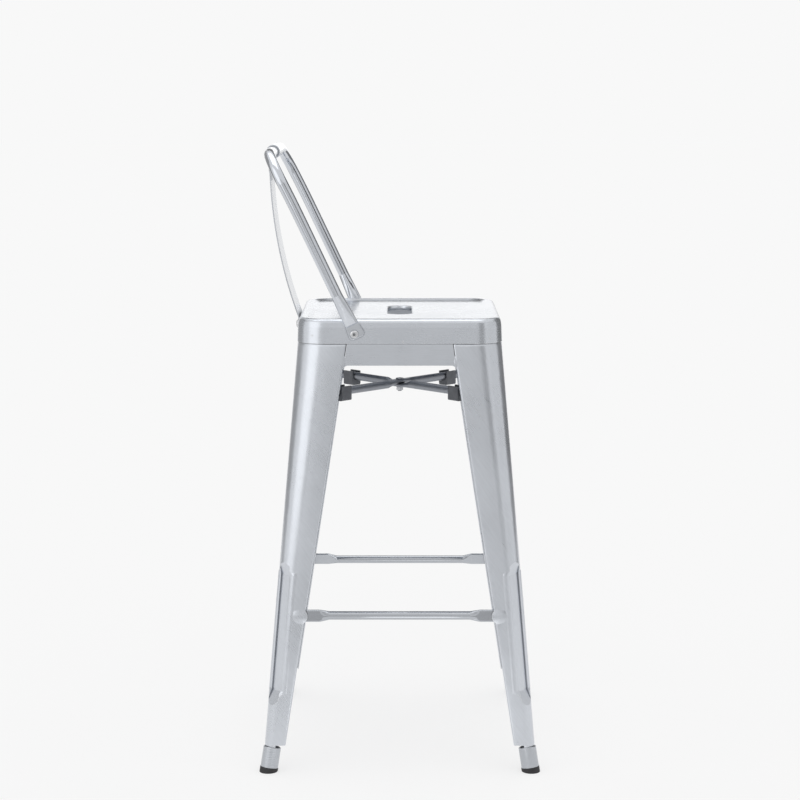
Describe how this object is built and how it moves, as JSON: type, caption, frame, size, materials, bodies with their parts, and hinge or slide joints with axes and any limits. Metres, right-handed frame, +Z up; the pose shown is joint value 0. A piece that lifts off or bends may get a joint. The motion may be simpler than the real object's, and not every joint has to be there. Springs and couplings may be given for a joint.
{
  "type": "counter stool with low back",
  "caption": "Pressed-steel counter stool: square dished seat with a grip slot, splayed folded legs, tube footrests, crossed brace and a low leaning hoop back with a central splat.",
  "frame": {"origin": "on the floor, under the centre of the square seat", "axes": "+Z up; the sitter faces -Y, so the back is at +Y; +X is the sitter's left"},
  "size_m": [0.4108, 0.4108, 0.9051],
  "materials": {
    "seat_steel": "pressed bare steel under clear lacquer, satin gloss, faint brushing",
    "leg_steel": "pressed bare steel under clear lacquer, satin, faint brushing",
    "ferrule_steel": "bare steel sleeve under clear lacquer, satin",
    "rung_tube": "drawn tube under clear lacquer, glossy along its length",
    "hoop_tube": "drawn tube under clear lacquer, glossy along its length",
    "splat_steel": "rolled strip under clear lacquer, satin",
    "brace_tube": "drawn tube, darker and duller than the outside pieces",
    "zinc_fastener": "bright zinc plate",
    "pad_plastic": "dark grey moulded plastic",
    "foot_rubber": "black moulded rubber"
  },
  "bodies": {
    "root": {"seat_pan": "seat_steel", "apron_left": "leg_steel", "apron_right": "leg_steel", "apron_rear": "leg_steel", "apron_front": "leg_steel", "leg_rear_left": "leg_steel", "leg_rear_right": "leg_steel", "leg_front_left": "leg_steel", "leg_front_right": "leg_steel", "foot_ferrule_rear_left": "ferrule_steel", "foot_ferrule_rear_right": "ferrule_steel", "foot_ferrule_front_left": "ferrule_steel", "foot_ferrule_front_right": "ferrule_steel", "rubber_foot_rear_left": "foot_rubber", "rubber_foot_rear_right": "foot_rubber", "rubber_foot_front_left": "foot_rubber", "rubber_foot_front_right": "foot_rubber", "rung_left": "rung_tube", "rung_right": "rung_tube", "rung_rear": "rung_tube", "rung_front": "rung_tube", "brace_bar_upper": "brace_tube", "brace_bar_lower": "brace_tube", "brace_pad_rear_left": "pad_plastic", "brace_pad_rear_right": "pad_plastic", "brace_pad_front_left": "pad_plastic", "brace_pad_front_right": "pad_plastic", "brace_bolt": "zinc_fastener", "brace_nut": "zinc_fastener", "back_hoop": "hoop_tube", "back_splat": "splat_steel", "splat_rivets": "zinc_fastener", "hoop_screws": "zinc_fastener", "hoop_nuts": "zinc_fastener", "splat_screws": "zinc_fastener", "splat_nuts": "zinc_fastener"}
  },
  "joints": []
}
